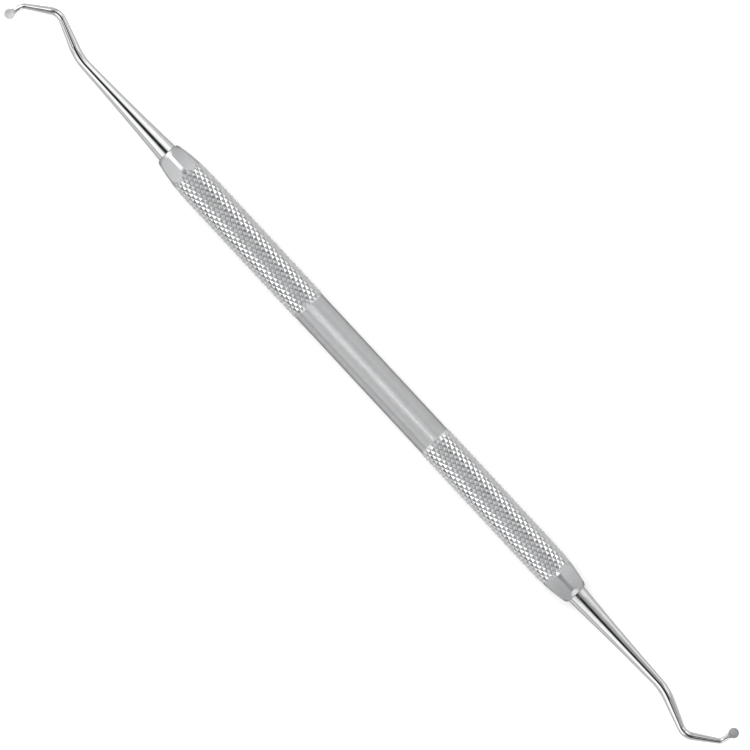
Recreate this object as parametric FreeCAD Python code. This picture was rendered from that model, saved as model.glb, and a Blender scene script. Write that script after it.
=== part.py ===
import FreeCAD, Part

# Double-ended dental spoon excavator, all stainless steel, lying on a table.
# A round grip with two diamond-knurled stretches tapers into a six-sided nose at each end.
# A polished working end is seated in a blind bore in each nose. It is a tapered shank with
# three bends in one plane, and it ends in a narrow neck and a small round spoon.
# The two ends are a left and a right: each is the other turned inside out through the
# middle of the handle, so one spoon opens upwards and the other downwards.
# Units are millimetres. +X runs along the handle and +Z is up. The origin is on the table
# under the middle of the handle, and the bends lie in a level plane at the handle's axis.

import math
import os

from FreeCAD import Vector

# Handle
smooth_grip_diameter = 6.05
smooth_grip_length = 32.2
plain_nose_length = 4.8
end_face_diameter = 4.1
nose_chamfer_length = 0.55

# Diamond knurl: its crests set the largest diameter of the handle
knurl_crest_diameter = 6.35
knurl_depth = 0.25
knurl_length = 30.5
knurl_pitch = 1.72
knurl_starts = 20
knurl_rise_length = 3.0
knurl_run_out_length = 0.8

# Six-sided taper at each end of the handle
taper_length = 8.6
taper_radius = 38.7
flat_count = 6
ridge_width = 0.86

# Seat of a working end in the handle
tang_diameter = 2.4
tang_length = 10.0
tang_clearance = 0.02
tang_end_gap = 0.3

# Shank: diameters at the shoulder and round each bend
shoulder_diameter = 3.6
first_bend_diameter = 1.76
second_bend_diameter = 1.3
third_bend_diameter = 0.93

# Shank: runs between the corners of its route, and how far their tapers are hollowed
first_run_length = 22.3
second_run_length = 8.5
third_run_length = 6.4
neck_length = 2.63
first_run_hollow = 0.08
second_run_hollow = 0.01
third_run_hollow = 0.01

# Shank: turns and radii of its bends
first_bend_angle = 19.9
second_bend_angle = 57.0
third_bend_angle = 41.9
first_bend_radius = 11.0
second_bend_radius = 2.6
third_bend_radius = 1.3

# Spoon: a round cup with a hollow face, a domed back and a narrow cutting rim
spoon_diameter = 1.82
spoon_depth = 0.62
spoon_rim_height = 0.24
spoon_hollow_depth = 0.3
spoon_rim_width = 0.1
spoon_root_width = 1.0
spoon_root_length = 0.45
spoon_root_height = 0.3

# Derived places and sizes
crest_radius = knurl_crest_diameter / 2.0
root_radius = crest_radius - knurl_depth
smooth_radius = smooth_grip_diameter / 2.0
axis_height = crest_radius
knurl_start = smooth_grip_length / 2.0
knurl_end = knurl_start + knurl_length
half_handle = knurl_end + plain_nose_length
taper_start = half_handle - taper_length
flat_angle = 360.0 / flat_count
spoon_radius = spoon_diameter / 2.0

# Every end of the knurl stands this much inside the plain turning that it runs into
knurl_inset = 0.02
# Cutting bodies reach this far past what they cut
overcut = 1.0

AXIS = Vector(1, 0, 0)
UP = Vector(0, 0, 1)
CENTRE = Vector(0, 0, 0)


def ramp(value):
    """Rise smoothly from 0 to 1 as the value goes from 0 to 1."""
    value = min(max(value, 0.0), 1.0)
    return value * value * (3.0 - 2.0 * value)


def flat_height(x):
    """Height of a flat's middle line over the axis, at a place along the handle."""
    reach = max(x - taper_start, 0.0)
    return crest_radius - taper_radius + math.sqrt(taper_radius**2 - reach**2)


def ridge_radius(x):
    """Radius at which two neighbouring flats leave a ridge of the stated width."""
    half_turn = math.radians(flat_angle / 2.0)
    half_width = ridge_width / 2.0
    across = (flat_height(x) - half_width * math.sin(half_turn)) / math.cos(half_turn)
    return math.hypot(across, half_width)


def ridge_start():
    """Place where the ridges leave the full diameter of the handle."""
    low = taper_start
    high = half_handle
    for _ in range(60):
        middle = (low + high) / 2.0
        if ridge_radius(middle) > crest_radius:
            low = middle
        else:
            high = middle
    return low


def turned(edges):
    """Solid turned about the handle's axis from an open outline that ends on the axis."""
    outline = Part.Wire(edges)
    first = outline.OrderedVertexes[0].Point
    last = outline.OrderedVertexes[-1].Point
    closed = Part.Wire(edges + [Part.makeLine(last, first)])
    return Part.Face(closed).revolve(CENTRE, AXIS, 360.0)


def knurled_rod():
    """Rod of sharp four-sided diamonds between the smooth grip and the taper."""
    rows = max(2, round(2.0 * knurl_length / knurl_pitch))
    columns = 2 * knurl_starts
    step = knurl_length / rows
    plain_start = smooth_radius - knurl_inset
    plain_end = crest_radius - knurl_inset

    def radius(row, is_crest):
        x = row * step
        full = crest_radius if is_crest else root_radius
        rise_length = knurl_rise_length if is_crest else knurl_pitch
        rise = ramp(x / rise_length)
        run_out = ramp((knurl_length - x) / knurl_run_out_length)
        return plain_start + (full - plain_start) * rise + (plain_end - full) * (1.0 - run_out)

    def point(row, column):
        is_crest = (row + column) % 2 == 1
        angle = 2.0 * math.pi * (column + 0.5) / columns
        size = radius(row, is_crest)
        return Vector(knurl_start + row * step, size * math.cos(angle), size * math.sin(angle))

    points = [point(row, column) for row in range(rows + 1) for column in range(columns)]
    facets = []
    for row in range(rows):
        for column in range(columns):
            following = (column + 1) % columns
            near = row * columns + column
            near_next = row * columns + following
            far = near + columns
            far_next = near_next + columns
            # The shared side runs along a groove, from one low corner to the other
            if (row + column) % 2 == 0:
                facets.append((near, far_next, near_next))
                facets.append((near, far, far_next))
            else:
                facets.append((near, far, near_next))
                facets.append((near_next, far, far_next))
    for row in (0, rows):
        middle = len(points)
        points.append(Vector(knurl_start + row * step, 0, 0))
        for column in range(columns):
            one = row * columns + column
            other = row * columns + (column + 1) % columns
            facets.append((middle, one, other) if row == 0 else (middle, other, one))
    surface = Part.Shape()
    surface.makeShapeFromMesh((points, facets), 0.0001, False)
    rod = Part.Solid(Part.Shell(surface.Faces))
    if rod.Volume < 0:
        rod.reverse()
    return rod


def ridge_cutter():
    """Ring that turns down the ridges of one nose and chamfers its end face."""
    start = ridge_start()
    end = half_handle - nose_chamfer_length
    middle = (start + end) / 2.0
    outer = crest_radius + overcut
    beyond = half_handle + overcut
    shoulder = Vector(start, crest_radius, 0)
    corner = Vector(end, ridge_radius(end), 0)
    face_edge = Vector(half_handle, end_face_diameter / 2.0, 0)
    outline = Part.Wire([
        Part.Arc(shoulder, Vector(middle, ridge_radius(middle), 0), corner).toShape(),
        Part.makeLine(corner, face_edge),
        Part.makeLine(face_edge, Vector(beyond, face_edge.y, 0)),
        Part.makeLine(Vector(beyond, face_edge.y, 0), Vector(beyond, outer, 0)),
        Part.makeLine(Vector(beyond, outer, 0), Vector(start, outer, 0)),
        Part.makeLine(Vector(start, outer, 0), shoulder),
    ])
    return Part.Face(outline).revolve(CENTRE, AXIS, 360.0)


def flat_cutters():
    """Bodies that grind the flats of one nose, straight through the knurl and then curved."""
    end = half_handle + overcut
    middle = (knurl_end + end) / 2.0
    top = crest_radius + overcut
    arc_start = Vector(knurl_end, flat_height(knurl_end), -top)
    arc_end = Vector(end, flat_height(end), -top)
    # The straight stretch is tangent to the arc and runs out at the top of the cutter
    slope = math.tan(math.asin((knurl_end - taper_start) / taper_radius))
    run_in = Vector(knurl_end - (top - arc_start.y) / slope, top, -top)
    outline = Part.Wire([
        Part.makeLine(run_in, arc_start),
        Part.Arc(arc_start, Vector(middle, flat_height(middle), -top), arc_end).toShape(),
        Part.makeLine(arc_end, Vector(end, top, -top)),
        Part.makeLine(Vector(end, top, -top), run_in),
    ])
    cutter = Part.Face(outline).extrude(Vector(0, 0, 2.0 * top))
    return [cutter.rotated(CENTRE, AXIS, index * flat_angle) for index in range(flat_count)]


def tang_bore():
    """Blind bore that takes the tang of a working end."""
    radius = tang_diameter / 2.0 + tang_clearance
    depth = tang_length + tang_end_gap
    bottom = Vector(half_handle - depth, 0, 0)
    return Part.makeCylinder(radius, depth + overcut, bottom, AXIS)


def handle():
    """Grip with its two knurled stretches, six-sided noses and tang bores."""
    grip = Part.makeCylinder(smooth_radius, smooth_grip_length, Vector(-knurl_start, 0, 0), AXIS)
    nose = Part.makeCylinder(crest_radius, plain_nose_length, Vector(knurl_end, 0, 0), AXIS)
    half = [knurled_rod(), nose]
    cutters = flat_cutters() + [ridge_cutter(), tang_bore()]
    pieces = half + [inside_out(piece) for piece in half]
    cutters = cutters + [inside_out(cutter) for cutter in cutters]
    return grip.fuse(pieces).cut(cutters)


def inside_out(shape):
    """The same shape reflected through the middle of the handle."""
    return shape.mirror(CENTRE, UP).rotated(CENTRE, UP, 180.0)


def route():
    """Corners of the shank's middle line, from the end face to the middle of the spoon."""
    runs = (first_run_length, second_run_length, third_run_length, neck_length)
    turns = (0.0, -first_bend_angle, second_bend_angle, third_bend_angle)
    corners = [Vector(half_handle, 0, 0)]
    heading = 0.0
    for run, turn in zip(runs, turns):
        heading += math.radians(turn)
        corners.append(corners[-1] + Vector(math.cos(heading), math.sin(heading), 0) * run)
    return corners


def oval(centre, heading, half_width, half_height):
    """Section square to the heading and level across, round where its halves are equal."""
    if half_width > half_height:
        curve = Part.Ellipse(CENTRE, half_width, half_height)
    else:
        curve = Part.Circle(CENTRE, UP, half_width)
    section = Part.Wire(curve.toShape())
    across = UP.cross(heading)
    section.Placement = FreeCAD.Placement(centre, FreeCAD.Rotation(across, UP, heading, "ZXY"))
    return section


def tapered_run(start, end, start_radius, end_radius, hollow):
    """Turned run of the shank whose sides curve inwards a little between its ends."""
    length = (end - start).Length
    wide = Vector(0, start_radius, 0)
    middle = Vector(length / 2.0, (start_radius + end_radius) / 2.0 - hollow, 0)
    narrow = Vector(length, end_radius, 0)
    run = turned([
        Part.makeLine(CENTRE, wide),
        Part.Arc(wide, middle, narrow).toShape(),
        Part.makeLine(narrow, Vector(length, 0, 0)),
    ])
    run.Placement = FreeCAD.Placement(start, FreeCAD.Rotation(AXIS, end - start))
    return run


def elbow(start, arriving, leaving, bend_radius, radius):
    """Round bend that starts along one heading and ends along the other."""
    turn_axis = arriving.cross(leaving).normalize()
    pivot = start + turn_axis.cross(arriving) * bend_radius
    turn = math.degrees(arriving.getAngle(leaving))
    return Part.Face(oval(start, arriving, radius, radius)).revolve(pivot, turn_axis, turn)


def bend_reach(bend_radius, bend_angle):
    """Length that a bend takes from the run on each side of its corner."""
    return bend_radius * math.tan(math.radians(bend_angle) / 2.0)


def shank(corners, headings):
    """Tapered runs and round bends from the handle to the neck, with the end of the last."""
    bends = (
        (first_run_hollow, first_bend_radius, first_bend_angle, first_bend_diameter),
        (second_run_hollow, second_bend_radius, second_bend_angle, second_bend_diameter),
        (third_run_hollow, third_bend_radius, third_bend_angle, third_bend_diameter),
    )
    pieces = []
    place = corners[0]
    radius = shoulder_diameter / 2.0
    for index, (hollow, bend_radius, bend_angle, diameter) in enumerate(bends):
        corner = corners[index + 1]
        arriving = headings[index]
        leaving = headings[index + 1]
        reach = bend_reach(bend_radius, bend_angle)
        start = corner - arriving * reach
        pieces.append(tapered_run(place, start, radius, diameter / 2.0, hollow))
        pieces.append(elbow(start, arriving, leaving, bend_radius, diameter / 2.0))
        place = corner + leaving * reach
        radius = diameter / 2.0
    return pieces, place


def neck(start, spoon_centre, heading):
    """Neck that flattens and spreads into the root of the spoon."""
    rim = spoon_centre - heading * spoon_radius
    inner = rim + heading * spoon_root_length
    start_radius = third_bend_diameter / 2.0
    root_half_width = spoon_root_width / 2.0
    sections = [
        oval(start, heading, start_radius, start_radius),
        oval(rim, heading, root_half_width, spoon_rim_height),
        oval(inner, heading, root_half_width, spoon_root_height / 2.0),
    ]
    return Part.makeLoft(sections, True, True)


def tang():
    """Plain round tang that is seated in the bore of the handle."""
    return Part.makeCylinder(tang_diameter / 2.0, tang_length,
                             Vector(half_handle - tang_length, 0, 0), AXIS)


def working_end():
    """Polished working end at the +X end of the handle, with its spoon opening downwards."""
    corners = route()
    headings = [(end - start).normalize() for start, end in zip(corners, corners[1:])]
    spoon_centre = corners[-1]
    runs, place = shank(corners, headings)
    pieces = runs + [neck(place, spoon_centre, headings[-1]), spoon_bowl(spoon_centre)]
    return tang().fuse(pieces).cut(spoon_hollow(spoon_centre)).removeSplitter()


def spoon_bowl(centre):
    """Domed back of the spoon, cut off level at its rim."""
    dome_radius = (spoon_radius**2 + spoon_depth**2) / (2.0 * spoon_depth)
    rim_level = -spoon_rim_height
    dome = Part.makeSphere(dome_radius, centre + UP * (rim_level + spoon_depth - dome_radius))
    side = 2.0 * spoon_diameter
    corner = centre + Vector(-side / 2.0, -side / 2.0, rim_level)
    return dome.common(Part.makeBox(side, side, side, corner))


def spoon_hollow(centre):
    """Round hollow that is scooped out of the spoon's face."""
    mouth = spoon_radius - spoon_rim_width
    scoop_radius = (mouth**2 + spoon_hollow_depth**2) / (2.0 * spoon_hollow_depth)
    rim_level = -spoon_rim_height
    return Part.makeSphere(scoop_radius, centre + UP * (rim_level + spoon_hollow_depth - scoop_radius))


def build():
    """All pieces in their places, by name."""
    right = working_end()
    pieces = {
        "handle": handle(),
        "working_end_right": right,
        "working_end_left": inside_out(right),
    }
    return {name: piece.translated(UP * axis_height) for name, piece in pieces.items()}


def main():
    """Write one file for each piece."""
    os.makedirs("parts", exist_ok=True)
    for name, piece in build().items():
        piece.exportStep(os.path.join("parts", name + ".step"))


main()
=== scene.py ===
"""Looks of a double-ended spoon excavator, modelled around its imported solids."""

import math

import bmesh
import bpy
from bpy.props import FloatProperty, FloatVectorProperty, IntProperty, PointerProperty
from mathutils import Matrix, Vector


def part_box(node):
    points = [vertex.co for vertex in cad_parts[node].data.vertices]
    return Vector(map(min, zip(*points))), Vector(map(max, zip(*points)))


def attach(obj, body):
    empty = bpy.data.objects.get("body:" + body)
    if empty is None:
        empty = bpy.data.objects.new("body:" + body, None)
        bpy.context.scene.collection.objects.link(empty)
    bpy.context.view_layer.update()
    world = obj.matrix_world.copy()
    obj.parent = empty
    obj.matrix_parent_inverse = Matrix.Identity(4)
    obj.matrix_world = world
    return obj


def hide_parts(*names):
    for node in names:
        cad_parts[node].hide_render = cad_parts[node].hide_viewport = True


bl_info = {
    "name": "Spoon Excavator",
    "version": (1, 0, 0),
    "blender": (4, 5, 0),
    "location": "View3D > Sidebar > Excavator",
    "description": "Models and finishes a double-ended spoon excavator",
    "category": "Add Mesh",
}

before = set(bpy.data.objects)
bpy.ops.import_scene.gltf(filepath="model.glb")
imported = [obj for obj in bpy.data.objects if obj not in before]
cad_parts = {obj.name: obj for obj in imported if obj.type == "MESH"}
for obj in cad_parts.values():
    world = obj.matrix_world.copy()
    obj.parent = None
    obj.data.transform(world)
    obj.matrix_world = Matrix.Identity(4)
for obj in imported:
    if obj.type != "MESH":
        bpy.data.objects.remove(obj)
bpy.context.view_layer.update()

MM = 0.001
WELD = 0.0005 * MM
NEAR = 10.0 * WELD
BODY = "root"
NOSE_FLATS = 6

handle_low, handle_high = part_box("handle")
HALF_HANDLE = handle_high.x
AXIS_HEIGHT = (handle_low.z + handle_high.z) / 2.0


def length(label, note, size):
    """A length property whose default is given in millimetres."""
    return FloatProperty(name=label, description=note, default=size * MM, unit="LENGTH",
                         precision=5)


def angle(label, note, degrees):
    """An angle property whose default is given in degrees."""
    return FloatProperty(name=label, description=note, default=math.radians(degrees),
                         subtype="ANGLE")


def share(label, note, value):
    """A plain number between nought and one."""
    return FloatProperty(name=label, description=note, default=value, min=0.0, max=1.0)


def strength(label, note, value):
    """The strength of a light."""
    return FloatProperty(name=label, description=note, default=value, min=0.0)


def colour(label, note, value):
    """A colour, in linear light."""
    return FloatVectorProperty(name=label, description=note, default=value, size=3,
                               subtype="COLOR")


class HandleSizes(bpy.types.PropertyGroup):
    """Sizes of the knurled handle and its six-sided noses."""

    smooth_diameter: length("Smooth diameter", "Across the plain middle of the grip", 6.05)
    smooth_length: length("Smooth length", "Plain stretch between the two knurls", 31.4)
    crest_diameter: length("Crest diameter", "Across the tips of the knurl", 6.35)
    knurl_depth: length("Knurl depth", "From the tip of a diamond to the groove", 0.22)
    knurl_length: length("Knurl length", "Each knurled stretch, along the handle", 31.2)
    knurl_pitch: length("Knurl pitch", "From diamond to diamond along the handle", 1.566)
    knurl_starts: IntProperty(name="Knurl starts", description="Diamonds round the handle",
                              default=22)
    knurl_tip: share("Knurl tip", "Width of a diamond's worn tip over its base", 0.2)
    knurl_tip_round: length("Knurl tip rounding", "Rounded edge of a diamond's tip", 0.012)
    rise_length: length("Rise length", "Over which the crests rise from the smooth grip", 0.8)
    run_in_length: length("Run-in length", "Over which the grooves sink at the smooth grip", 0.4)
    run_out_length: length("Run-out length", "Over which the knurl ends at the nose", 0.8)
    taper_length: length("Taper length", "Six-sided taper, to the end face", 8.6)
    taper_radius: length("Taper radius", "Curve of each flat along the handle", 38.7)
    ridge_width: length("Ridge width", "Round strip between two flats", 0.64)
    end_face_diameter: length("End face diameter", "Flat face round the shank", 4.1)
    chamfer_length: length("Chamfer length", "Chamfer at the end face", 0.85)
    bore_diameter: length("Bore diameter", "Blind bore for the tang", 2.44)
    bore_depth: length("Bore depth", "Depth of the blind bore", 10.3)


class EndSizes(bpy.types.PropertyGroup):
    """Sizes of a working end: its tang, its bent tapered shank and its spoon."""

    tang_diameter: length("Tang diameter", "Plain tang inside the handle", 2.4)
    tang_length: length("Tang length", "Depth of the tang in the handle", 10.0)
    shoulder_diameter: length("Shoulder diameter", "Shank where it leaves the handle", 3.6)
    shoulder_round: length("Shoulder rounding", "Rounded edge of the shoulder", 0.08)
    first_run: length("First run", "From the handle to the corner of the first bend", 22.3)
    second_run: length("Second run", "From the first corner to the second", 8.5)
    third_run: length("Third run", "From the second corner to the third", 6.4)
    last_run: length("Last run", "From the third corner to the middle of the spoon", 2.63)
    first_hollow: length("First hollow", "How far the first taper curves inwards", 0.08)
    first_diameter: length("First diameter", "Round the first bend", 1.76)
    second_diameter: length("Second diameter", "Round the second bend", 1.3)
    third_diameter: length("Third diameter", "Round the third bend", 0.93)
    first_radius: length("First radius", "Radius of the first bend", 11.0)
    second_radius: length("Second radius", "Radius of the second bend", 2.6)
    third_radius: length("Third radius", "Radius of the third bend", 1.3)
    first_turn: angle("First turn", "Turn of the first bend", -19.9)
    second_turn: angle("Second turn", "Turn of the second bend", 57.0)
    third_turn: angle("Third turn", "Turn of the third bend", 41.9)
    root_width: length("Root width", "Neck where it meets the spoon, across", 1.0)
    root_height: length("Root height", "Neck where it meets the spoon, up and down", 0.46)
    spoon_diameter: length("Spoon diameter", "Round outline of the spoon", 1.82)
    spoon_depth: length("Spoon depth", "From the rim to the top of the back", 0.62)
    rim_drop: length("Rim drop", "From the shank's middle line to the rim", 0.24)
    rim_width: length("Rim width", "Narrow land round the hollow", 0.1)
    hollow_depth: length("Hollow depth", "Depth of the spoon's hollow", 0.3)


class Finish(bpy.types.PropertyGroup):
    """Colours and roughness of the steel, for each part of the excavator."""

    satin_colour: colour("Satin colour", "Satin steel of the plain grip", (0.425, 0.428, 0.433))
    satin_edge: share("Satin edge", "Brightness of the handle seen at a low angle", 0.35)
    satin_roughness: share("Satin roughness", "Roughness of the plain grip", 0.45)
    satin_grain: share("Satin grain", "How far a highlight is spread along the plain grip", 0.86)
    knurl_colour: colour("Knurl colour", "Fresh-cut steel of the knurl", (0.5, 0.503, 0.509))
    knurl_roughness: share("Knurl roughness", "Roughness of the knurl", 0.33)
    nose_colour: colour("Nose colour", "Ground steel of the noses", (0.38, 0.383, 0.388))
    nose_roughness: share("Nose roughness", "Roughness of the noses", 0.36)
    cut_edge: share("Cut edge", "Brightness of the knurl and the noses seen at a low angle", 0.12)
    polish_colour: colour("Polished colour", "Polished steel of the shanks", (0.48, 0.483, 0.49))
    polish_edge: share("Polished edge", "Brightness of the shanks seen at a low angle", 0.25)
    polish_roughness: share("Polished roughness", "Roughness of the shanks", 0.055)
    # The spoons are one ground steel: the hollow colour is painted lighter as painted light, and
    # the back colour is painted darker as painted shade
    hollow_colour_painted_light: colour("Hollow colour", "Ground steel of the hollows", (0.62, 0.623, 0.629))
    back_colour_painted_shade: colour("Back colour", "Ground steel of the spoons' backs", (0.33, 0.333, 0.338))
    hollow_roughness: share("Hollow roughness", "Roughness of the spoons' hollows", 0.85)
    back_roughness: share("Back roughness", "Roughness of the spoons' backs", 0.75)


class Studio(bpy.types.PropertyGroup):
    """Floor, light and camera."""

    roll: angle("Camera roll", "Turn of the picture about the line of sight", 47.13)
    aim_along: length("Aim along", "Place on the handle that the camera is over", 0.57)
    aim_across: length("Aim across", "How far the camera is over to the side", 0.24)
    view_width: length("View width", "Width that the picture shows", 128.4)
    camera_height: length("Camera height", "Height of the camera over the floor", 1200.0)
    floor_size: length("Floor size", "Side of the square floor", 6000.0)
    floor_grey: share("Floor grey", "Colour of the floor", 0.62)
    floor_lift: share("Floor lift", "White added to the floor for the picture", 0.36)
    dome_strength: strength("Dome strength", "Strength of the whole soft dome", 1.0)


def pick_only(piece):
    """Leave only one object selected and active."""
    bpy.ops.object.select_all(action="DESELECT")
    piece.select_set(True)
    bpy.context.view_layer.objects.active = piece


def begin_edit(piece, kind):
    """Open a piece for editing with nothing selected."""
    pick_only(piece)
    bpy.ops.object.mode_set(mode="EDIT")
    bpy.ops.mesh.select_mode(type=kind)
    bpy.ops.mesh.select_all(action="DESELECT")


def end_edit():
    """Close the piece that is being edited."""
    bpy.ops.object.mode_set(mode="OBJECT")


def choose_all():
    """Select the whole of the edited piece."""
    bpy.ops.mesh.select_all(action="SELECT")


def face_outwards():
    """Turn every face of the edited piece outwards."""
    choose_all()
    bpy.ops.mesh.normals_make_consistent(inside=False)


def choose(kind, wanted):
    """Select the vertices, edges or faces of the edited piece that are wanted."""
    bpy.ops.mesh.select_mode(type=kind)
    bpy.ops.mesh.select_all(action="DESELECT")
    data = bpy.context.edit_object.data
    work = bmesh.from_edit_mesh(data)
    parts = {"VERT": work.verts, "EDGE": work.edges, "FACE": work.faces}[kind]
    found = [part for part in parts if wanted(part)]
    for part in found:
        part.select_set(True)
    work.select_flush_mode()
    bmesh.update_edit_mesh(data)
    if not found:
        raise RuntimeError("nothing was found to select on " + bpy.context.edit_object.name)


def near(value, target):
    """Whether two places are the same within a small reach."""
    return abs(value - target) < NEAR


def apply_modifier(piece, kind, **settings):
    """Put a modifier on a piece and apply it."""
    pick_only(piece)
    modifier = piece.modifiers.new(kind.title(), kind)
    for name, value in settings.items():
        setattr(modifier, name, value)
    bpy.ops.object.modifier_apply(modifier=modifier.name)


def ramp(value):
    """Rise smoothly from 0 to 1 as the value goes from 0 to 1."""
    value = min(max(value, 0.0), 1.0)
    return value * value * (3.0 - 2.0 * value)


def new_circle(name, corners, radius, fill="NOTHING"):
    """A new piece that starts as a circle about the handle's axis, facing along it."""
    bpy.ops.object.select_all(action="DESELECT")
    bpy.ops.mesh.primitive_circle_add(vertices=corners, radius=radius, fill_type=fill,
                                      location=(0, 0, 0), rotation=(0, math.pi / 2.0, 0))
    bpy.ops.object.transform_apply(location=True, rotation=True, scale=True)
    piece = bpy.context.object
    piece.name = name
    piece.data.name = name
    return piece


def extrude_ring(shift, factor, centre=(0, 0, 0)):
    """Carry the selected ring of edges on by a shift, and widen or narrow it about a centre."""
    bpy.ops.mesh.extrude_edges_move(TRANSFORM_OT_translate={"value": shift})
    bpy.ops.transform.resize(value=factor, center_override=centre)


class Grip:
    """Places and radii along one half of the handle, worked out from its sizes."""

    def __init__(self, sizes):
        self.sizes = sizes
        self.smooth = sizes.smooth_diameter / 2.0
        self.crest = sizes.crest_diameter / 2.0
        self.root = self.crest - sizes.knurl_depth
        self.knurl_start = sizes.smooth_length / 2.0
        self.knurl_end = self.knurl_start + sizes.knurl_length
        self.taper_start = HALF_HANDLE - sizes.taper_length
        self.step = 2.0 * math.pi / sizes.knurl_starts

    def flat_height(self, x):
        """Height of a flat's middle line over the axis."""
        reach = max(x - self.taper_start, 0.0)
        curve = self.sizes.taper_radius
        return self.crest - curve + math.sqrt(curve**2 - reach**2)

    def ridge_radius(self, x):
        """Radius of the round strips between the flats."""
        half_turn = math.pi / NOSE_FLATS
        half_width = self.sizes.ridge_width / 2.0
        across = (self.flat_height(x) - half_width * math.sin(half_turn)) / math.cos(half_turn)
        return min(math.hypot(across, half_width), self.crest)

    def faded(self, x, radius):
        """Radius of a point of the knurl after the knurl has faded out at its two ends."""
        reach = x - self.knurl_start
        is_crest = radius > self.smooth
        rise_length = self.sizes.rise_length if is_crest else self.sizes.run_in_length
        rise = ramp(reach / rise_length)
        run_out = ramp((self.sizes.knurl_length - reach) / self.sizes.run_out_length)
        risen = self.smooth + (radius - self.smooth) * rise
        return risen + (self.crest - radius) * (1.0 - run_out)


def knurl_tile(grip):
    """One diamond of the knurl, on top of the handle one pitch before the knurl starts."""
    sizes = grip.sizes
    place = Vector((grip.knurl_start - sizes.knurl_pitch, 0, grip.root))
    bpy.ops.object.select_all(action="DESELECT")
    bpy.ops.mesh.primitive_circle_add(vertices=4, radius=1.0, fill_type="NGON", location=(0, 0, 0))
    tile = bpy.context.object
    half_turn = grip.step / 2.0
    half_width = grip.root * math.sin(half_turn)
    bpy.ops.object.mode_set(mode="EDIT")
    choose_all()
    bpy.ops.transform.resize(value=(sizes.knurl_pitch / 2.0, half_width, 1),
                             center_override=(0, 0, 0))
    bpy.ops.transform.translate(value=place)
    # The two side corners lie lower, on the round of the grooves
    choose("VERT", lambda corner: abs(corner.co.y) > half_width / 2.0)
    bpy.ops.transform.translate(value=(0, 0, grip.root * (math.cos(half_turn) - 1.0)))
    choose("FACE", lambda face: True)
    tip = sizes.knurl_tip
    height = Vector((0, 0, sizes.knurl_depth))
    bpy.ops.mesh.extrude_region_move(TRANSFORM_OT_translate={"value": height})
    bpy.ops.transform.resize(value=(tip, tip, 0), center_override=place + height)
    choose("EDGE", lambda edge: all(near(end.co.z, grip.crest) for end in edge.verts))
    bpy.ops.mesh.bevel(offset=sizes.knurl_tip_round, segments=2, affect="EDGES")
    choose("FACE", lambda face: all(end.co.z < grip.root + WELD for end in face.verts))
    bpy.ops.mesh.delete(type="ONLY_FACE")
    return tile


def knurled_tube(grip):
    """Open tube of diamonds between the smooth grip and the nose."""
    sizes = grip.sizes
    tile = knurl_tile(grip)
    tile.name = "knurled_handle"
    tile.data.name = "knurled_handle"
    turns = sizes.knurl_starts - 1
    choose_all()
    bpy.ops.mesh.spin(steps=turns, dupli=True, angle=grip.step * turns,
                      center=(0, 0, 0), axis=(1, 0, 0))
    choose_all()
    half_pitch = sizes.knurl_pitch / 2.0
    bpy.ops.mesh.duplicate_move(TRANSFORM_OT_translate={"value": (half_pitch, 0, 0)})
    bpy.ops.transform.rotate(value=grip.step / 2.0, orient_axis="X", center_override=(0, 0, 0))
    end_edit()
    rows = math.ceil(sizes.knurl_length / sizes.knurl_pitch) + 2
    apply_modifier(tile, "ARRAY", count=rows, use_relative_offset=False, use_constant_offset=True,
                   constant_offset_displace=(sizes.knurl_pitch, 0, 0))
    begin_edit(tile, "VERT")
    choose_all()
    bpy.ops.mesh.remove_doubles(threshold=2.0 * WELD)
    for x, is_end in ((grip.knurl_start, False), (grip.knurl_end, True)):
        choose_all()
        bpy.ops.mesh.bisect(plane_co=(x, 0, 0), plane_no=(1, 0, 0), threshold=WELD,
                            clear_inner=not is_end, clear_outer=is_end)
    face_outwards()
    end_edit()
    # The knurl dies away into the plain turning at both of its ends
    for corner in tile.data.vertices:
        radius = math.hypot(corner.co.y, corner.co.z)
        factor = grip.faded(corner.co.x, radius) / radius
        corner.co.y *= factor
        corner.co.z *= factor
    return tile


def open_ring_at(x):
    """Select the open ring of edges that lies at one place along the handle."""
    choose("EDGE", lambda edge: edge.is_boundary and all(near(end.co.x, x) for end in edge.verts))


# How many rings a nose's ridges and its flats are drawn with, and how far the bar that grinds
# the flats reaches past the handle
RIDGE_RINGS = 14
FLAT_RINGS = 22
FORMER_MARGIN = 0.5 * MM


def turn_nose(grip):
    """Carry the knurl's outer ring on into the ridges, the chamfer, the end face and the bore."""
    sizes = grip.sizes
    length_left = HALF_HANDLE - sizes.chamfer_length - grip.knurl_end
    outline = []
    for index in range(1, RIDGE_RINGS + 1):
        x = grip.knurl_end + length_left * index / RIDGE_RINGS
        outline.append((x, grip.ridge_radius(x)))
    outline.append((HALF_HANDLE, sizes.end_face_diameter / 2.0))
    outline.append((HALF_HANDLE, sizes.bore_diameter / 2.0))
    outline.append((HALF_HANDLE - sizes.bore_depth, sizes.bore_diameter / 2.0))
    open_ring_at(grip.knurl_end)
    last_x = grip.knurl_end
    last_radius = grip.crest
    for x, radius in outline:
        factor = radius / last_radius
        extrude_ring((x - last_x, 0, 0), (1, factor, factor))
        last_x = x
        last_radius = radius
    bpy.ops.mesh.edge_face_add()


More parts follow.
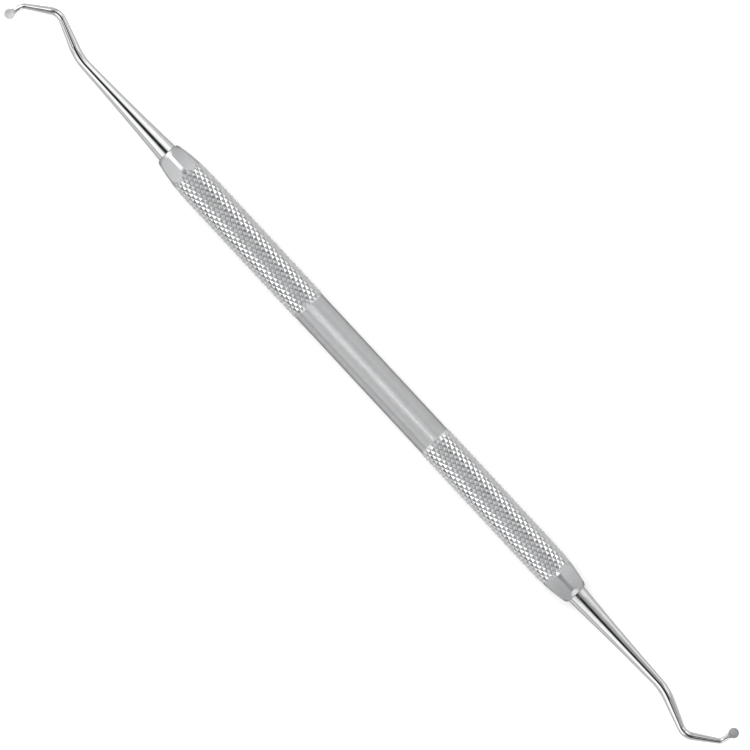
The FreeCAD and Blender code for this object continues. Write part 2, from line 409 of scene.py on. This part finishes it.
def flat_former(grip):
    """Six-sided bar whose curved taper grinds the flats of the nose."""
    clear = grip.crest + FORMER_MARGIN
    outline = [(-FORMER_MARGIN, clear), (grip.taper_start - FORMER_MARGIN, clear)]
    reach = HALF_HANDLE + FORMER_MARGIN - grip.taper_start
    for index in range(FLAT_RINGS + 1):
        x = grip.taper_start + reach * index / FLAT_RINGS
        outline.append((x, grip.flat_height(x)))
    half_turn = math.pi / NOSE_FLATS
    former = new_circle("flat_former", NOSE_FLATS, clear / math.cos(half_turn))
    begin_edit(former, "EDGE")
    choose_all()
    bpy.ops.transform.rotate(value=half_turn, orient_axis="X", center_override=(0, 0, 0))
    bpy.ops.transform.translate(value=(outline[0][0], 0, 0))
    for (last_x, last_height), (x, height) in zip(outline, outline[1:]):
        factor = height / last_height
        extrude_ring((x - last_x, 0, 0), (1, factor, factor))
    bpy.ops.mesh.edge_face_add()
    open_ring_at(outline[0][0])
    bpy.ops.mesh.edge_face_add()
    face_outwards()
    end_edit()
    return former


def close_middle(grip):
    """Carry the knurl's inner ring on to the middle of the handle and cap it there."""
    open_ring_at(grip.knurl_start)
    extrude_ring((-grip.knurl_start, 0, 0), (1, 1, 1))
    bpy.ops.mesh.edge_face_add()


def finish_piece(piece, material, node):
    """Give a piece its finish, and let it stand for its solid."""
    piece.data.materials.clear()
    piece.data.materials.append(material)
    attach(piece, BODY)
    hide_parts(node)


def raise_to_axis(piece):
    """Lift a piece from the origin to the height of the handle's axis."""
    begin_edit(piece, "VERT")
    choose_all()
    bpy.ops.transform.translate(value=(0, 0, AXIS_HEIGHT))
    end_edit()


# Edges that turn by more than this stay sharp, on the handle and on the working ends
HANDLE_SHARP_ANGLE = math.radians(15.0)
END_SHARP_ANGLE = math.radians(35.0)


def shade_smooth(piece, sharp_angle):
    """Shade a piece smoothly, apart from its sharp edges."""
    pick_only(piece)
    bpy.ops.object.shade_smooth_by_angle(angle=sharp_angle)


class EXCAVATOR_OT_handle(bpy.types.Operator):
    """Model the knurled handle with its two six-sided noses"""

    bl_idname = "excavator.handle"
    bl_label = "Knurled Handle"

    def execute(self, context):
        sizes = context.scene.excavator_handle
        grip = Grip(sizes)
        handle = knurled_tube(grip)
        begin_edit(handle, "EDGE")
        turn_nose(grip)
        close_middle(grip)
        face_outwards()
        end_edit()
        former = flat_former(grip)
        apply_modifier(handle, "BOOLEAN", operation="INTERSECT", solver="EXACT", object=former)
        bpy.data.objects.remove(former)
        begin_edit(handle, "FACE")
        choose("FACE", lambda face: all(near(end.co.x, 0.0) for end in face.verts))
        bpy.ops.mesh.delete(type="ONLY_FACE")
        end_edit()
        apply_modifier(handle, "MIRROR", use_axis=(True, False, False), merge_threshold=2.0 * WELD)
        raise_to_axis(handle)
        shade_smooth(handle, HANDLE_SHARP_ANGLE)
        finish = context.scene.excavator_finish
        turned = handle_steel("satin_steel", finish.satin_colour, finish.satin_roughness,
                              finish.satin_edge, finish.satin_grain)
        finish_piece(handle, turned, "handle")
        nose_start = grip.knurl_end - sizes.run_out_length
        for name, tone, roughness, start in (
            ("knurled_steel", finish.knurl_colour, finish.knurl_roughness, grip.knurl_start),
            ("ground_steel", finish.nose_colour, finish.nose_roughness, nose_start),
        ):
            # Each finish covers the faces from its start outwards, over the one before it
            handle.data.materials.append(handle_steel(name, tone, roughness, finish.cut_edge))
            for face in handle.data.polygons:
                face.material_index += int(abs(face.center.x) > start)
        return {"FINISHED"}


# Corners of the rings of the shank and the spoon, before they are smoothed
SHANK_CORNERS = 12
SPOON_CORNERS = 20
# Places of the rings, as shares of the neck's length and of the reach to a dome's rim
NECK_RINGS = (0.3, 0.6, 0.85)
BACK_RINGS = (0.93, 0.78, 0.52, 0.24)
HOLLOW_RINGS = (0.86, 0.6, 0.3)
# How sharply the smoothed spoon keeps its outer edge and the edge of its hollow
RIM_CREASE = 0.9
MOUTH_CREASE = 0.7
# Width of the last ring inside each dome, as a share of the spoon's radius
MIDDLE_INSET = 0.1
# Half of the wall's faces that make way for the neck, and a little more
NECK_HALF_FACES = 2.1
# Faces that tilt down by more than this belong to the hollow and its rim
HOLLOW_TILT = -0.5
# The hollow mark picks the hollow's roughness and its painted lighter tone; the faces without it
# take the back's painted shade
HOLLOW_MARK = "hollow"


class Route:
    """Rings along the shank: where each one is, which way it faces and how large it is."""

    def __init__(self, sizes):
        self.rings = []
        self.place = Vector((HALF_HANDLE, 0, 0))
        self.heading = 0.0
        self.radius = sizes.shoulder_diameter / 2.0

    def ahead(self):
        """Direction in which the shank is heading."""
        return Vector((math.cos(self.heading), math.sin(self.heading), 0))

    def inward(self, turn):
        """Direction from the shank to the middle of a bend, square to its heading."""
        left = Vector((-math.sin(self.heading), math.cos(self.heading), 0))
        return left * math.copysign(1.0, turn)

    def add(self, place, half_width, half_height):
        """Add one ring."""
        self.rings.append((place, self.heading, half_width, half_height))

    def run(self, distance, end_radius, hollow, steps):
        """Straight taper whose sides may curve inwards."""
        start = self.place.copy()
        start_radius = self.radius
        for index in range(1, steps + 1):
            part = index / steps
            radius = start_radius + (end_radius - start_radius) * part
            radius -= 4.0 * hollow * part * (1.0 - part)
            self.place = start + self.ahead() * distance * part
            self.add(self.place, radius, radius)
        self.radius = end_radius

    def bend(self, turn, bend_radius, steps):
        """Round bend of even thickness."""
        pivot = self.place + self.inward(turn) * bend_radius
        start = self.heading
        for index in range(1, steps + 1):
            self.heading = start + turn * index / steps
            self.place = pivot - self.inward(turn) * bend_radius
            self.add(self.place, self.radius, self.radius)


def shank_route(sizes):
    """The whole route of a shank, with the middle of the spoon at its end."""
    route = Route(sizes)
    # Each run and the bend after it, with how many rings each of the two is drawn with
    bends = (
        (sizes.first_run, sizes.first_turn, sizes.first_radius, sizes.first_diameter, 12, 8),
        (sizes.second_run, sizes.second_turn, sizes.second_radius, sizes.second_diameter, 5, 10),
        (sizes.third_run, sizes.third_turn, sizes.third_radius, sizes.third_diameter, 5, 8),
    )
    spent = 0.0
    for index, (run, turn, bend_radius, diameter, run_steps, bend_steps) in enumerate(bends):
        reach = bend_radius * math.tan(abs(turn) / 2.0)
        hollow = sizes.first_hollow if index == 0 else 0.0
        route.run(run - spent - reach, diameter / 2.0, hollow, run_steps)
        route.bend(turn, bend_radius, bend_steps)
        spent = reach
    left = sizes.last_run - spent
    spoon = route.place + route.ahead() * left
    neck_length = left - sizes.spoon_diameter / 2.0
    start = route.place.copy()
    for part in NECK_RINGS:
        half_width = route.radius + (sizes.root_width / 2.0 - route.radius) * part**2
        half_height = route.radius + (sizes.root_height / 2.0 - route.radius) * part
        place = start + route.ahead() * neck_length * part
        route.add(place, half_width, half_height)
    return route, spoon


def smoothed(corners):
    """How much larger a ring is drawn, so that it has its true size once it is subdivided."""
    return 3.0 / (2.0 + math.cos(2.0 * math.pi / corners))


def shank_mesh(sizes, route):
    """Tang, shoulder, tapers and bends, drawn ring by ring."""
    swell = smoothed(SHANK_CORNERS)
    tang_radius = sizes.tang_diameter / 2.0 * swell
    shoulder = sizes.shoulder_diameter / 2.0 * swell
    rounding = sizes.shoulder_round
    piece = new_circle("working_end", SHANK_CORNERS, tang_radius, "NGON")
    begin_edit(piece, "EDGE")
    choose_all()
    bpy.ops.transform.translate(value=(HALF_HANDLE - sizes.tang_length, 0, 0))
    bpy.ops.transform.edge_crease(value=1.0)
    extrude_ring((sizes.tang_length, 0, 0), (1, 1, 1))
    bpy.ops.transform.edge_crease(value=1.0)
    widen = (shoulder - rounding) / tang_radius
    extrude_ring((0, 0, 0), (1, widen, widen))
    widen = shoulder / (shoulder - rounding)
    extrude_ring((rounding, 0, 0), (1, widen, widen))
    last_place = Vector((HALF_HANDLE + rounding, 0, 0))
    last_heading = 0.0
    last_width = last_height = sizes.shoulder_diameter / 2.0
    for place, heading, half_width, half_height in route.rings:
        bpy.ops.mesh.extrude_edges_move(TRANSFORM_OT_translate={"value": place - last_place})
        if heading != last_heading:
            bpy.ops.transform.rotate(value=last_heading - heading, orient_axis="Z",
                                     center_override=place)
        wider = half_width / last_width
        bpy.ops.transform.resize(value=(wider, wider, half_height / last_height),
                                 center_override=place)
        last_place, last_heading = place, heading
        last_width, last_height = half_width, half_height
    end_edit()
    return piece


def dome_rise(radius, height, reach):
    """Rise of a shallow dome of one height over a rim of one radius, at a reach from its middle."""
    curve = (radius**2 + height**2) / (2.0 * height)
    return math.sqrt(curve**2 - reach**2) - (curve - height)


def close_with_dome(rim, radius, height, parts, inset):
    """Close the selected rim with a shallow dome, ring by ring, and give the rise of each ring."""
    last_reach, last_rise = radius, 0.0
    rises = []
    for part in parts:
        reach = radius * part
        rise = dome_rise(radius, height, reach)
        factor = reach / last_reach
        centre = rim + Vector((0, 0, rise))
        extrude_ring((0, 0, rise - last_rise), (factor, factor, 1), centre)
        last_reach, last_rise = reach, rise
        rises.append(rise)
    bpy.ops.mesh.edge_face_add()
    bpy.ops.mesh.inset(thickness=inset)
    return rises


def spoon_mesh(sizes, centre, heading):
    """Round spoon with a domed back and a hollow face, added to the shank that is being edited."""
    radius = sizes.spoon_diameter / 2.0
    mouth = radius - sizes.rim_width
    # A little outside the rim, and a little inside the mouth of the hollow
    outside = radius * 1.1
    inside = mouth * 0.9
    inset = radius * MIDDLE_INSET
    rim = centre - Vector((0, 0, sizes.rim_drop))
    bpy.ops.mesh.select_all(action="DESELECT")
    bpy.ops.mesh.primitive_circle_add(vertices=SPOON_CORNERS, fill_type="NOTHING",
                                      radius=radius * smoothed(SPOON_CORNERS),
                                      location=rim, rotation=(0, 0, heading + math.pi / 2.0))
    bpy.ops.transform.edge_crease(value=RIM_CREASE)
    wall = close_with_dome(rim, radius, sizes.spoon_depth, BACK_RINGS, inset)

    def on_rim(edge):
        ends = [end.co for end in edge.verts]
        at_rim = all(near(end.z, rim.z) and (end - rim).length < outside for end in ends)
        return edge.is_boundary and at_rim

    choose("EDGE", on_rim)
    factor = mouth / radius
    extrude_ring((0, 0, 0), (factor, factor, 1), rim)
    bpy.ops.transform.edge_crease(value=MOUTH_CREASE)
    close_with_dome(rim, mouth, sizes.hollow_depth, HOLLOW_RINGS, inset)
    # The neck enters through the wall of the bowl, four faces wide and two high
    back = Vector((-math.cos(heading), -math.sin(heading), 0))
    half_gap = NECK_HALF_FACES * 2.0 * math.pi / SPOON_CORNERS

    def faces_neck(face):
        spot = face.calc_center_median() - rim
        flat_spot = Vector((spot.x, spot.y, 0))
        inner = mouth if spot.z < wall[0] else inside
        on_wall = inner < flat_spot.length < outside and 0.0 < spot.z < wall[1]
        return on_wall and flat_spot.angle(back) < half_gap

    choose("FACE", faces_neck)
    bpy.ops.mesh.delete(type="FACE")
    choose("EDGE", lambda edge: edge.is_boundary)
    bpy.ops.mesh.bridge_edge_loops()


def mark_hollow(piece, sizes, centre):
    """Mark the faces of the spoon's hollow and rim, which face downwards; the mark gives them their
    roughness and the hollow's painted lighter tone, against the back's painted shade.
    """
    marks = piece.data.attributes.new(HOLLOW_MARK, "FLOAT", "FACE")
    for face, mark in zip(piece.data.polygons, marks.data):
        reach = (face.center - centre).length
        mark.value = float(reach < sizes.spoon_diameter / 2.0 and face.normal.z < HOLLOW_TILT)


def working_end(sizes):
    """One working end at the +X end of the handle, with its spoon opening downwards."""
    route, centre = shank_route(sizes)
    piece = shank_mesh(sizes, route)
    begin_edit(piece, "EDGE")
    spoon_mesh(sizes, centre, route.heading)
    face_outwards()
    end_edit()
    apply_modifier(piece, "SUBSURF", levels=2, render_levels=2)
    mark_hollow(piece, sizes, centre)
    raise_to_axis(piece)
    shade_smooth(piece, END_SHARP_ANGLE)
    return piece


def turned_inside_out(piece):
    """Copy of a piece, reflected through the middle of the handle."""
    pick_only(piece)
    bpy.ops.object.duplicate()
    copy = bpy.context.object
    begin_edit(copy, "VERT")
    choose_all()
    bpy.ops.transform.resize(value=(-1, -1, -1), center_override=(0, 0, AXIS_HEIGHT))
    face_outwards()
    end_edit()
    return copy


class EXCAVATOR_OT_working_ends(bpy.types.Operator):
    """Model the two polished working ends, each a bent tapered shank with a spoon"""

    bl_idname = "excavator.working_ends"
    bl_label = "Working Ends"

    def execute(self, context):
        right = working_end(context.scene.excavator_end)
        left = turned_inside_out(right)
        steel = polished_steel(context.scene.excavator_finish, context.scene.excavator_end)
        for side, piece in (("right", right), ("left", left)):
            piece.name = side + "_spoon_end"
            piece.data.name = piece.name
            finish_piece(piece, steel, "working_end_" + side)
        return {"FINISHED"}


class Nodes:
    """Small helper that adds and joins the nodes of one material."""

    def __init__(self, tree):
        self.tree = tree
        self.tree.nodes.clear()

    def add(self, kind, inputs=None, **settings):
        """Add a node, set its properties, and set or join its inputs."""
        node = self.tree.nodes.new("ShaderNode" + kind)
        for name, value in settings.items():
            setattr(node, name, value)
        for name, value in (inputs or {}).items():
            self.set(node, name, value)
        return node

    def set(self, node, name, value):
        """Set one input of a node, or join it to an output."""
        if isinstance(value, bpy.types.NodeSocket):
            self.tree.links.new(value, node.inputs[name])
        else:
            node.inputs[name].default_value = value


def new_material(name):
    """A new material with an empty node tree."""
    material = bpy.data.materials.new(name)
    material.use_nodes = True
    return material, Nodes(material.node_tree)


# Scales of the noises in the steel, in ripples a metre
TURNING_SCALES = (9000.0, 260.0, 260.0)
CLOUD_SCALE = 420.0
TOOTH_SCALE = 6500.0
HAZE_SCALE = 900.0
WAVE_SCALE = 700.0
# Depths of the relief
MARK_DEPTH = 0.006 * MM
WAVE_DEPTH = 0.02 * MM
# Where the finish of a spoon has faded out along its neck, in radii of the spoon
NECK_FADE = 1.4


def shaded(tone, factor=1.0):
    """A colour made darker or lighter, for a colour socket."""
    return [min(value * factor, 1.0) for value in tone] + [1.0]


def spread(nodes, fac, low, high):
    """Stretch a noise that runs from about 0.3 to 0.7 over a range."""
    node = nodes.add("MapRange", {"Value": fac, "From Min": 0.3, "From Max": 0.7,
                                  "To Min": low, "To Max": high})
    return node.outputs["Result"]


def soft_step(nodes, value, low, high):
    """0 at one angle and 1 at another, with a soft edge between."""
    node = nodes.add("MapRange", {"Value": value, "From Min": math.radians(low),
                                  "From Max": math.radians(high)},
                     interpolation_type="SMOOTHSTEP")
    return node.outputs["Result"]


def product(nodes, first, *others):
    """Multiply several values."""
    for other in others:
        first = nodes.add("Math", {0: first, 1: other}, operation="MULTIPLY").outputs["Value"]
    return first


def handle_steel(name, tone, roughness, edge, grain=0.0):
    """Satin steel, with fine rings round the handle, faint cloudy patches and a fine tooth."""
    material, nodes = new_material(name)
    place = nodes.add("TexCoord").outputs["Object"]
    rings = nodes.add("Mapping", {"Vector": place, "Scale": TURNING_SCALES}).outputs["Vector"]
    turning = nodes.add("TexNoise", {"Vector": rings, "Scale": 1.0, "Detail": 3.0}).outputs["Fac"]
    clouds = nodes.add("TexNoise", {"Vector": place, "Scale": CLOUD_SCALE, "Detail": 8.0,
                                    "Roughness": 0.8}).outputs["Fac"]
    tooth = nodes.add("TexNoise", {"Vector": place, "Scale": TOOTH_SCALE,
                                   "Detail": 2.0}).outputs["Fac"]
    rough = nodes.add("Math", {0: spread(nodes, clouds, -0.03, 0.03),
                               1: spread(nodes, turning, roughness - 0.04, roughness + 0.04)},
                      operation="ADD")
    mix = nodes.add("MixRGB", {"Fac": spread(nodes, clouds, 0.0, 1.0),
                               "Color1": shaded(tone, 0.91), "Color2": shaded(tone, 1.08)})
    bump = nodes.add("Bump", {"Height": turning, "Strength": 0.35, "Distance": MARK_DEPTH})
    bump = nodes.add("Bump", {"Height": tooth, "Strength": 0.25, "Distance": MARK_DEPTH,
                              "Normal": bump.outputs["Normal"]})
    shader = nodes.add("BsdfPrincipled", {"Base Color": mix.outputs["Color"], "Metallic": 1.0,
                                          "Specular Tint": (edge, edge, edge, 1.0),
                                          "Roughness": rough.outputs["Value"],
                                          "Normal": bump.outputs["Normal"]})
    if grain:
        round_axis = nodes.add("Tangent", direction_type="RADIAL", axis="X")
        nodes.set(shader, "Anisotropic", grain)
        nodes.set(shader, "Anisotropic Rotation", 0.25)
        nodes.set(shader, "Tangent", round_axis.outputs["Tangent"])
    nodes.add("OutputMaterial", {"Surface": shader.outputs["BSDF"]})
    return material


def on_spoon(nodes, place, sizes):
    """1 on either spoon and 0 on the shanks, by the distance to the spoon's middle."""
    middle = shank_route(sizes)[1]
    along = nodes.add("SeparateXYZ", {"Vector": place}).outputs["X"]
    side = nodes.add("Math", {0: along}, operation="SIGN").outputs["Value"]
    spot = nodes.add("VectorMath", {0: place, "Scale": side}, operation="SCALE").outputs["Vector"]
    for kind, other in (("SUBTRACT", middle), ("MULTIPLY", (1.0, 1.0, 0.0))):
        spot = nodes.add("VectorMath", {0: spot, 1: other}, operation=kind).outputs["Vector"]
    reach = nodes.add("VectorMath", {0: spot}, operation="LENGTH").outputs["Value"]
    radius = sizes.spoon_diameter / 2.0
    node = nodes.add("MapRange", {"Value": reach, "From Min": radius * NECK_FADE,
                                  "From Max": radius}, interpolation_type="SMOOTHSTEP")
    return node.outputs["Result"]


def polished_steel(finish, sizes):
    """Mirror-polished shanks with the faint haze of hand polishing, and ground satin spoons whose
    hollows are painted lighter and whose backs are painted darker, as painted light and shade.
    """
    material, nodes = new_material("polished_steel")
    place = nodes.add("TexCoord").outputs["Object"]
    haze = nodes.add("TexNoise", {"Vector": place, "Scale": HAZE_SCALE, "Detail": 4.0,
                                  "Roughness": 0.6}).outputs["Fac"]
    wave = nodes.add("TexNoise", {"Vector": place, "Scale": WAVE_SCALE,
                                  "Detail": 1.0}).outputs["Fac"]
    polish = nodes.add("MixRGB", {"Fac": spread(nodes, haze, 0.0, 1.0),
                                  "Color1": shaded(finish.polish_colour, 0.96),
                                  "Color2": shaded(finish.polish_colour, 1.03)})
    spoon = on_spoon(nodes, place, sizes)
    hollow = nodes.add("Attribute", attribute_name=HOLLOW_MARK).outputs["Fac"]
    # One spoon steel in two tones, picked by the hollow mark: the back painted darker as painted
    # shade, the hollow painted lighter as painted light
    ground = nodes.add("MixRGB", {"Fac": hollow, "Color1": shaded(finish.back_colour_painted_shade),
                                  "Color2": shaded(finish.hollow_colour_painted_light)})
    mix = nodes.add("MixRGB", {"Fac": spoon, "Color1": polish.outputs["Color"],
                               "Color2": ground.outputs["Color"]})
    shine = finish.polish_roughness
    rough = spread(nodes, haze, shine - 0.02, shine + 0.03)
    gain = nodes.add("MapRange", {"Value": hollow, "To Min": finish.back_roughness - shine,
                                  "To Max": finish.hollow_roughness - shine})
    rough = nodes.add("Math", {0: spoon, 1: gain.outputs["Result"], 2: rough},
                      operation="MULTIPLY_ADD").outputs["Value"]
    bump = nodes.add("Bump", {"Height": wave, "Strength": 0.3, "Distance": WAVE_DEPTH})
    edge = finish.polish_edge
    shader = nodes.add("BsdfPrincipled", {"Base Color": mix.outputs["Color"], "Metallic": 1.0,
                                          "Specular Tint": (edge, edge, edge, 1.0),
                                          "Roughness": rough, "Normal": bump.outputs["Normal"]})
    nodes.add("OutputMaterial", {"Surface": shader.outputs["BSDF"]})
    return material


# Angle from straight up, in degrees, and the brightness of the dome there
DOME_RINGS = ((0.0, 0.01), (14.0, 0.02), (19.5, 0.62), (46.0, 0.66), (60.0, 0.9), (72.0, 0.88),
              (90.0, 0.66))
# Light added or taken away, then the angles over which it comes and goes: along the handle first
# and across it next, in degrees
DOME_PATCHES = (
    (3.2, ((-72, -64), (-15, -10.5)), ((-18, -12), (12, 18))),
    (1.0, ((-40, -34), (-26, -20)), ((-38, -30), (30, 38))),
    (1.9, ((42, 48), (70, 76)), ((-26, -18), (18, 26))),
    (1.2, ((-76, -70), (-50, -44)), ((-28, -20), (20, 28))),
    (-0.35, ((22, 30), (38, 44)), ((-36, -26), (26, 36))),
    (-0.5, ((8, 14), (38, 46)), ((-46, -38), (-16, -8))),
    (1.25, ((-20, -12), (6, 14)), ((-82, -60), (-28, -22))),
    (1.2, ((-30, -26), (-20, -17)), ((-66, -60), (-52, -46))),
    (0.5, ((-10, -6), (6, 10)), ((-52, -42), (-34, -26))),
    (1.25, ((-20, -12), (-4, 6)), ((22, 28), (60, 82))),
    (1.2, ((7, 11), (15, 19)), ((36, 46), (64, 78))),
    (0.9, ((-12, -4), (8, 16)), ((66, 72), (82, 86))),
    (0.8, ((9, 13), (20, 26)), ((-14, -8), (10, 16))),
)


def seen_directly(nodes):
    """1 for what the camera sees, also in a reflection, and 0 for the light on things."""
    rays = nodes.add("LightPath").outputs
    seen = rays["Is Camera Ray"]
    for ray in ("Is Glossy Ray", "Is Transmission Ray"):
        seen = nodes.add("Math", {0: seen, 1: rays[ray]}, operation="MAXIMUM").outputs["Value"]
    return seen


def floor_material(studio):
    """Plain pale floor that reads as white in the picture and keeps the shadow."""
    material, nodes = new_material("pale_floor")
    grey = studio.floor_grey
    paint = nodes.add("BsdfDiffuse", {"Color": (grey, grey, grey, 1.0)})
    lift = product(nodes, seen_directly(nodes), studio.floor_lift)
    glow = nodes.add("Emission", {"Strength": lift})
    both = nodes.add("AddShader", {0: paint.outputs["BSDF"], 1: glow.outputs["Emission"]})
    nodes.add("OutputMaterial", {"Surface": both.outputs["Shader"]})
    return material


def patch(nodes, angles, along, across):
    """1 in a soft-edged patch of the dome, between angles along the handle and across it."""
    sides = []
    for axis, (low, high) in (("X", along), ("Y", across)):
        sides.append(soft_step(nodes, angles[axis], *low))
        sides.append(soft_step(nodes, angles[axis], high[1], high[0]))
    return product(nodes, *sides)


def sky_dome(studio):
    """Soft dome: dark overhead, bright about it, with patches of more or less light."""
    world = bpy.data.worlds.new("soft_dome")
    bpy.context.scene.world = world
    world.use_nodes = True
    nodes = Nodes(world.node_tree)
    towards = nodes.add("TexCoord").outputs["Generated"]
    direction = nodes.add("SeparateXYZ", {"Vector": towards}).outputs
    tilt = nodes.add("Math", {0: direction["Z"]}, operation="ARCCOSINE").outputs["Value"]
    angles = {}
    for axis in "XY":
        angles[axis] = nodes.add("Math", {0: direction[axis]}, operation="ARCSINE").outputs["Value"]
    turn = nodes.add("MapRange", {"Value": tilt, "From Max": math.pi / 2.0}).outputs["Result"]
    rings = nodes.add("ValToRGB", {"Fac": turn})
    elements = rings.color_ramp.elements
    while len(elements) < len(DOME_RINGS):
        elements.new(0.5)
    for element, (degrees, value) in zip(elements, DOME_RINGS):
        element.position = degrees / 90.0
        element.color = (value, value, value, 1.0)
    light = rings.outputs["Color"]
    for added, along, across in DOME_PATCHES:
        light = nodes.add("Math", {0: patch(nodes, angles, along, across), 1: added, 2: light},
                          operation="MULTIPLY_ADD").outputs["Value"]
    light = nodes.add("Math", {0: light, 1: 0.0}, operation="MAXIMUM").outputs["Value"]
    dome = nodes.add("Background", {"Color": (1.0, 1.0, 1.0, 1.0),
                                    "Strength": product(nodes, light, studio.dome_strength)})
    white = nodes.add("Background", {"Color": (1.0, 1.0, 1.0, 1.0), "Strength": 1.0})
    camera_ray = nodes.add("LightPath").outputs["Is Camera Ray"]
    mix = nodes.add("MixShader", {0: camera_ray, 1: dome.outputs["Background"],
                                  2: white.outputs["Background"]})
    nodes.add("OutputWorld", {"Surface": mix.outputs["Shader"]})


class EXCAVATOR_OT_stage(bpy.types.Operator):
    """Set out the pale floor, the soft light and the camera"""

    bl_idname = "excavator.stage"
    bl_label = "Floor, Light and Camera"

    def execute(self, context):
        studio = context.scene.excavator_studio
        bpy.ops.object.select_all(action="DESELECT")
        bpy.ops.mesh.primitive_plane_add(size=studio.floor_size, location=(0, 0, 0))
        floor = context.object
        floor.name = "floor"
        floor.data.materials.append(floor_material(studio))
        sky_dome(studio)
        spot = (studio.aim_along, studio.aim_across, studio.camera_height)
        bpy.ops.object.camera_add(location=spot, rotation=(0, 0, studio.roll))
        camera = context.object
        camera.name = "overhead_camera"
        distance = studio.camera_height - AXIS_HEIGHT
        camera.data.sensor_width = 36.0
        camera.data.lens = camera.data.sensor_width * distance / studio.view_width
        camera.data.clip_start = 0.01
        camera.data.clip_end = 100.0
        context.scene.camera = camera
        context.scene.view_settings.view_transform = "Standard"
        return {"FINISHED"}


class EXCAVATOR_PT_sidebar(bpy.types.Panel):
    """Sizes and finishes of the excavator"""

    bl_idname = "EXCAVATOR_PT_sidebar"
    bl_label = "Spoon Excavator"
    bl_space_type = "VIEW_3D"
    bl_region_type = "UI"
    bl_category = "Excavator"

    def draw(self, context):
        for group, operator in (
            ("excavator_handle", "excavator.handle"),
            ("excavator_end", "excavator.working_ends"),
            ("excavator_finish", None),
            ("excavator_studio", "excavator.stage"),
        ):
            box = self.layout.box()
            values = getattr(context.scene, group)
            for name in values.bl_rna.properties.keys():
                if name not in ("rna_type", "name"):
                    box.prop(values, name)
            if operator:
                box.operator(operator)


GROUPS = (
    ("excavator_handle", HandleSizes),
    ("excavator_end", EndSizes),
    ("excavator_finish", Finish),
    ("excavator_studio", Studio),
)
CLASSES = (
    EXCAVATOR_OT_handle,
    EXCAVATOR_OT_working_ends,
    EXCAVATOR_OT_stage,
    EXCAVATOR_PT_sidebar,
)


def register():
    """Register the property groups, operators and panel."""
    for name, group in GROUPS:
        bpy.utils.register_class(group)
        setattr(bpy.types.Scene, name, PointerProperty(type=group))
    for item in CLASSES:
        bpy.utils.register_class(item)


def unregister():
    """Take them all out again."""
    for item in reversed(CLASSES):
        bpy.utils.unregister_class(item)
    for name, group in reversed(GROUPS):
        delattr(bpy.types.Scene, name)
        bpy.utils.unregister_class(group)


def main():
    """Build every piece and the stage."""
    register()
    bpy.ops.excavator.handle()
    bpy.ops.excavator.working_ends()
    bpy.ops.excavator.stage()


if __name__ == "__main__":
    main()
